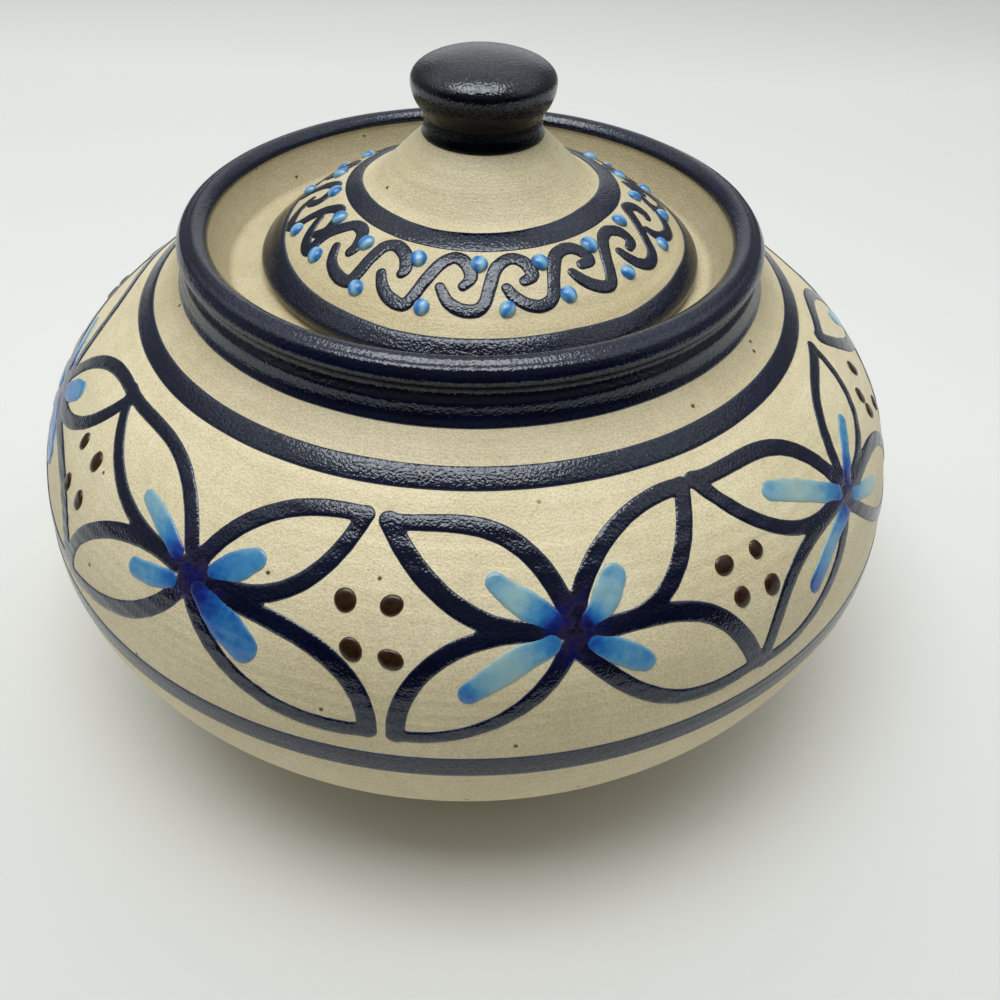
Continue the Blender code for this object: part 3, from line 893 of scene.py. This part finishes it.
# Beads beside the scroll: azimuth and millimetres from the lid's axis
BEADS_INSIDE = [
    (-84.4, 23.6), (-63.1, 24.1), (-42.3, 24.6), (-20.5, 24.2), (0.9, 24.0), (22.0, 24.3),
    (43.5, 23.9), (66.4, 23.5), (92.6, 24.8),
]
BEADS_OUTSIDE = [
    (-75.0, 30.0), (-56.5, 29.6), (-35.3, 30.4), (-14.5, 30.4), (8.9, 30.1), (27.1, 29.3),
    (49.9, 29.3), (73.2, 29.8), (92.5, 29.8),
]
BEAD_ROWS_HIDDEN = [(90.0, 20.8, 24.4), (92.5, 20.488, 30.2)]
BEADS_HIDDEN = [(first + step * k, out) for first, step, out in BEAD_ROWS_HIDDEN for k in range(1, 9)]
BEAD_TONE = 0.60
BEAD_STREAK = 0.24


def between(values, share):
    """A value part of the way along a short list of evenly spaced values."""
    spot = share * (len(values) - 1)
    first = min(int(spot), len(values) - 2)
    return values[first] + (values[first + 1] - values[first]) * (spot - first)


STROKE_SAMPLES = 26
POOL_REACH = 0.10
DAUB_FINENESS = 5
DAUB_MARGIN = 0.60

# How far a repeated stroke strays, across in degrees and up in millimetres, and its share of the width
STRAY = (0.35, 0.25)
STRAY_WIDTH = (0.93, 1.07)


def paint_stroke(painting, centre, stroke, pooled):
    """One brush stroke on the belly, plum where it starts from a flower's pooled middle."""
    path = curve(*[Vector((*corner, 0.0)) for corner in stroke[:4]], STROKE_SAMPLES)
    places = [(centre[0] + p.x, centre[1] + p.y) for p in path]
    shares = [k / (STROKE_SAMPLES - 1) for k in range(STROKE_SAMPLES)]
    widths = [between(stroke[4], share) * MM for share in shares]
    tones = [1.0 if pooled else max(0.0, 1.0 - share / POOL_REACH) for share in shares]
    painting.stroke(places, widths, tones, STROKE_MERGE)


def paint_daub(painting, centre, points):
    """One blue daub on the belly, a leaf shape through the given points."""
    path = smooth_path([(across, up) for across, up, _, _ in points], DAUB_FINENESS)
    breadth = smooth_path([(tone, width) for _, _, width, tone in points], DAUB_FINENESS)
    places = [(centre[0] + p.x, centre[1] + p.y) for p in path]
    widths = [(p.y + DAUB_MARGIN) * MM for p in breadth]
    painting.stroke(places, widths, [p.x for p in breadth], FINE_MERGE)


def strayed(place, stray, chance):
    return place[0] + chance.gauss(0.0, stray[0]), place[1] + chance.gauss(0.0, stray[1])


def shaken(strokes, chance):
    """The same strokes as another flower's, moved a little as a hand would repeat them."""
    moved = []
    for *corners, widths in strokes:
        parts = [strayed(corner, STRAY, chance) for corner in corners]
        moved.append((*parts, tuple(width * chance.uniform(*STRAY_WIDTH) for width in widths)))
    return moved


# Paintings: the heights or radii between which one lies and the size of its cells, then how rough
# its edges are, with a seed, and last its own height and the width of its rounded edge, in metres
outlines = Painting(pot, pot.way_at_height, 0.0716, 0.0385, 0.00030)
daubs = Painting(pot, pot.way_at_height, 0.0680, 0.0480, 0.00030)
chance = random.Random(4)
flowers = [FLOWER_A, FLOWER_B, FLOWER_C]
for number, centre in enumerate(HIDDEN_FLOWERS):
    model = flowers[number % 3]
    flowers.append((centre, shaken(model[1], chance), model[2]))
for centre, strokes, marks in flowers:
    for stroke in strokes:
        paint_stroke(outlines, centre, stroke, False)
    for stroke in POOL_STROKES:
        paint_stroke(outlines, centre, stroke, True)
    for mark in marks:
        paint_daub(daubs, centre, mark)
outlines.roughen(0.00003, 11)
daubs.roughen(0.00007, 12)
petal_outlines = outlines.mesh("petal_outlines", 0.00015, 0.00055, slip)
petal_daubs = daubs.mesh("petal_daubs", 0.00020, 0.00085, blue_glaze)

dots = Painting(pot, pot.way_at_height, 0.0650, 0.0510, 0.00022)
for dot in BROWN_DOTS:
    dots.drop(*dot)
for gap in HIDDEN_GAPS:
    for across, height in GAP_DOTS:
        place = strayed((gap + across, height), (0.4, 0.3), chance)
        dots.drop(*place, GAP_DOT_LONG_HALF, GAP_DOT_SHORT_HALF, chance.uniform(0.0, 3.0))
dots.roughen(0.00006, 13)
brown_dots = dots.mesh("brown_dots", 0.00036, 0.00130, brown_glaze)

LID_PAINT = (0.0215, 0.0332)
scroll = Painting(lid_face, lid_face.way_at_radius, *LID_PAINT, 0.00020)
scrolls = SCROLLS_SEEN + [
    [strayed((start + across, out), (0.2, 0.12), chance) for across, out in SCROLL_SHAPE]
    for start in SCROLLS_HIDDEN
]
for points in scrolls:
    path = smooth_path(points, 4)
    widths = [between(SCROLL_WIDTHS, k / (len(path) - 1)) * MM for k in range(len(path))]
    scroll.stroke(path, widths, [0.0] * len(path), FINE_MERGE)
scroll.roughen(0.00004, 14)
lid_scroll = scroll.mesh("lid_scroll", 0.00022, 0.00055, slip)

beads = Painting(lid_face, lid_face.way_at_radius, *LID_PAINT, 0.00018)
for azimuth, out in BEADS_INSIDE + BEADS_OUTSIDE + BEADS_HIDDEN:
    half = chance.uniform(1.32, 1.46)
    place = out + chance.gauss(0.0, 0.05)
    short_half = half * chance.uniform(0.84, 0.96)
    beads.drop(azimuth, place, half, short_half, chance.uniform(0.9, 2.2), BEAD_TONE, BEAD_STREAK)
beads.roughen(0.00004, 15)
lid_beads = beads.mesh("lid_beads", 0.00085, 0.00125, bead_glaze)

pot_clay = revolve("pot_clay", pot_profile(), TURN_STEPS, 0.0, clay)
lid_body = revolve("lid_body", lid_profile(), TURN_STEPS, LID_SHIFT, lid_clay)
KNOB_DRY_FALL = 0.0030


def knob_dryness(height):
    """Dull under the knob's rim, glossy above it."""
    return max(0.0, min(1.0, (knob_low.z + KNOB_RIM_HEIGHT - height) / KNOB_DRY_FALL))


knob_shares = {"edge": lambda height: 1.0, "dry": knob_dryness}
knob_body = revolve("knob_body", knob_profile(), TURN_STEPS // 2, LID_SHIFT, knob_slip, knob_shares)


# Edges of the lid's bands as they were drawn: degrees of azimuth and millimetres from the lid's axis
RING_INSIDE = [
    (-100.2, 19.4), (-85.0, 19.0), (-69.8, 18.6), (-39.9, 18.6), (-20.0, 18.8), (5.0, 18.7), (34.9, 18.4),
    (54.8, 18.1), (69.7, 18.2), (84.8, 18.6), (100.1, 19.1), (140, 18.9), (200, 18.7),
]
RING_OUTSIDE = [
    (-101.8, 22.1), (-60.8, 21.8), (-30.4, 22.0), (10.1, 22.0), (60.8, 21.8), (91.6, 22.3), (110, 22.6),
    (180, 22.2),
]
EDGE_INSIDE = [
    (-100.0, 31.4), (-84.9, 31.6), (-63.3, 32.5), (-48.8, 33.0), (-34.5, 33.2), (-20.2, 33.5), (0.0, 33.4),
    (25.3, 33.3), (40.5, 33.6), (54.7, 33.4), (69.2, 33.2), (92.6, 33.6), (140, 32.8), (200, 32.2),
]

# How much of the lid's edge is left bare below its slip, in millimetres, and where the collar's slip
# starts inside the lip, in metres down the outline
EDGE_BARE = [(-120.0, 0.4), (-95.0, 1.0), (-60.0, 0.9), (-45.0, 0.5), (-30.0, 0.4), (0.0, 0.4)]
COLLAR_START = [(-90.0, 0.0005), (-60.0, 0.0003), (60.0, 0.0002), (90.0, 0.0001), (180.0, 0.0008)]


def drawn(line):
    return [(azimuth, lid_face.way_at_radius(radius * MM)) for azimuth, radius in line]


def belly_edges(top, foot):
    """The level edges of a band that lies between two heights on the belly."""
    return [[(0.0, pot.way_at_height(height))] for height in (top, foot)]


collar_end = [(0.0, collar.way_at_radius(SHOULDER_RADIUS))]
edge_end = [(azimuth, lid_face.way[-1] - bare * MM) for azimuth, bare in EDGE_BARE]

# Each band of slip: its edges, its height, the width of its rounded edge, and a seed
BANDS = [
    ("collar_slip", collar, COLLAR_START, collar_end, 0.00022, 0.0006, 21),
    ("shoulder_band", pot, *belly_edges(0.0717, 0.0698), 0.00018, 0.0007, 31),
    ("base_band", pot, *belly_edges(0.0402, 0.0363), 0.00015, 0.0007, 41),
    ("lid_ring", lid_face, drawn(RING_INSIDE), drawn(RING_OUTSIDE), 0.00017, 0.0006, 51),
    ("lid_edge_slip", lid_face, drawn(EDGE_INSIDE), edge_end, 0.00028, 0.0007, 61),
]
collar_slip, shoulder_band, base_band, lid_ring, lid_edge_slip = [band(*row, slip) for row in BANDS]

for piece in (pot_clay, petal_outlines, petal_daubs, brown_dots, collar_slip, shoulder_band, base_band):
    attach(piece, "jar")
for piece in (lid_body, knob_body, lid_scroll, lid_beads, lid_ring, lid_edge_slip):
    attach(piece, "lid")
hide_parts("jar_body")
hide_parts("lid")
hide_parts("knob")

# Camera, fitted to the circles of the jar in the photograph
CAMERA_PLACE = (0.00571, -0.15205, 0.15517)
CAMERA_PITCH = 38.93 * DEGREE
CAMERA_ROLL = 1.84 * DEGREE
CAMERA_LENS = 36.0
CAMERA_SENSOR = 36.0
CAMERA_SHIFT_Y = -0.05

camera_data = bpy.data.cameras.new("camera")
camera_data.lens = CAMERA_LENS
camera_data.sensor_width = CAMERA_SENSOR
camera_data.shift_y = CAMERA_SHIFT_Y
camera_data.clip_start = 0.005
camera = bpy.data.objects.new("camera", camera_data)
camera.location = CAMERA_PLACE
tilt = Euler((math.pi / 2.0 - CAMERA_PITCH, 0.0, 0.0)).to_matrix()
camera.rotation_euler = (tilt @ Matrix.Rotation(CAMERA_ROLL, 3, "Z")).to_euler()
bpy.context.scene.collection.objects.link(camera)
bpy.context.scene.camera = camera

# A wide soft lamp straight above
LAMP_PLACE = (-0.12, -0.13, 1.10)
LAMP_SIZE = (0.86, 0.50)
LAMP_POWER = 7.15
lamp_data = bpy.data.lights.new("overhead", "AREA")
lamp_data.shape = "RECTANGLE"
lamp_data.size, lamp_data.size_y = LAMP_SIZE
lamp_data.energy = LAMP_POWER
lamp = bpy.data.objects.new("overhead", lamp_data)
lamp.location = LAMP_PLACE
lamp.rotation_euler = Vector((0.0, 0.0, -LAMP_PLACE[2])).to_track_quat("-Z", "Y").to_euler()
bpy.context.scene.collection.objects.link(lamp)

# A room that is bright above and behind the jar, with a window low behind it, and dim on the viewer's
# side. The pairs are where each part starts and ends, along a direction's own share.
ROOM_DIM = 0.03
ROOM_FRONT = 0.13
ROOM_LOW = 0.18
ROOM_HIGH = 0.79
WINDOW = 0.6
WINDOW_TOWARDS = (0.0, 0.966, 0.26)
WINDOW_EDGE = (0.90, 0.985)
BACK_SIDE = (-0.50, -0.15)
CEILING_RISE = (0.46, 0.72)
FRONT_RISE = (0.20, 0.60)
ROOM_TINT = (0.94, 0.98, 1.0, 1.0)
ROOM_SEEN = (0.86, 0.86, 0.84, 1.0)
world = bpy.data.worlds.new("world")
bpy.context.scene.world = world
sky = Shading(world, "Generated")
sides = sky.node("ShaderNodeSeparateXYZ", {0: sky.place})
lit = sky.smooth(sides.outputs["Y"], *BACK_SIDE, 0.0, 1.0)
ceiling = sky.smooth(sides.outputs["Z"], *CEILING_RISE, ROOM_LOW, ROOM_HIGH)
window = sky.smooth(sky.reach("DOT_PRODUCT", WINDOW_TOWARDS), *WINDOW_EDGE, 0.0, WINDOW)
viewer = sky.smooth(sides.outputs["Z"], *FRONT_RISE, ROOM_DIM, ROOM_FRONT)
glow = sky.maths("ADD", sky.maths("MULTIPLY", lit, ceiling), sky.maths("ADD", window, viewer))
room = sky.times(glow, ROOM_TINT)
seen = sky.node("ShaderNodeLightPath").outputs["Is Camera Ray"]
background = world.node_tree.nodes["Background"]
sky.feed(background.inputs["Color"], sky.mix(seen, room, ROOM_SEEN))
background.inputs["Strength"].default_value = 1.0

# A pale sheet that bends up behind the jar, dimmer where the viewer's shade falls on it in front
FLOOR_HALF = 1.6
FLOOR_FRONT = 0.32
FLOOR_BACK = 0.31
FLOOR_DIM_SPOT = (0.0, -0.24, 0.0)
FLOOR_DIM_REACH = 0.12
FLOOR_PALE_REACH = 0.34
FLOOR_DIM = 0.86
SWEEP_RADIUS = 0.06
SWEEP_TURN = 55
SWEEP_STEP = 5
SWEEP_END_RISE = 0.012
sweep = [(-FLOOR_FRONT, 0.0), (FLOOR_BACK, 0.0)]
for angle in range(SWEEP_STEP, SWEEP_TURN + 1, SWEEP_STEP):
    turn = angle * DEGREE
    sweep.append((FLOOR_BACK + SWEEP_RADIUS * math.sin(turn), SWEEP_RADIUS * (1.0 - math.cos(turn))))
last_y, last_z = sweep[-1]
sweep.append((last_y + SWEEP_END_RISE / math.tan(SWEEP_TURN * DEGREE), last_z + SWEEP_END_RISE))
floor_points = [(x, y, z) for y, z in sweep for x in (-FLOOR_HALF, FLOOR_HALF)]
floor_faces = [(2 * k, 2 * k + 1, 2 * k + 3, 2 * k + 2) for k in range(len(sweep) - 1)]
floor_look = new_look("floor", 0.6, 0.3)
away = floor_look.reach("DISTANCE", FLOOR_DIM_SPOT)
shade = floor_look.smooth(away, FLOOR_DIM_REACH, FLOOR_PALE_REACH, FLOOR_DIM, 1.0)
floor_look.surface("Base Color", floor_look.times(shade, srgb(233, 234, 230)))
floor = make_object("floor", floor_points, floor_faces, floor_look.owner)

bpy.context.scene.view_settings.view_transform = "Standard"
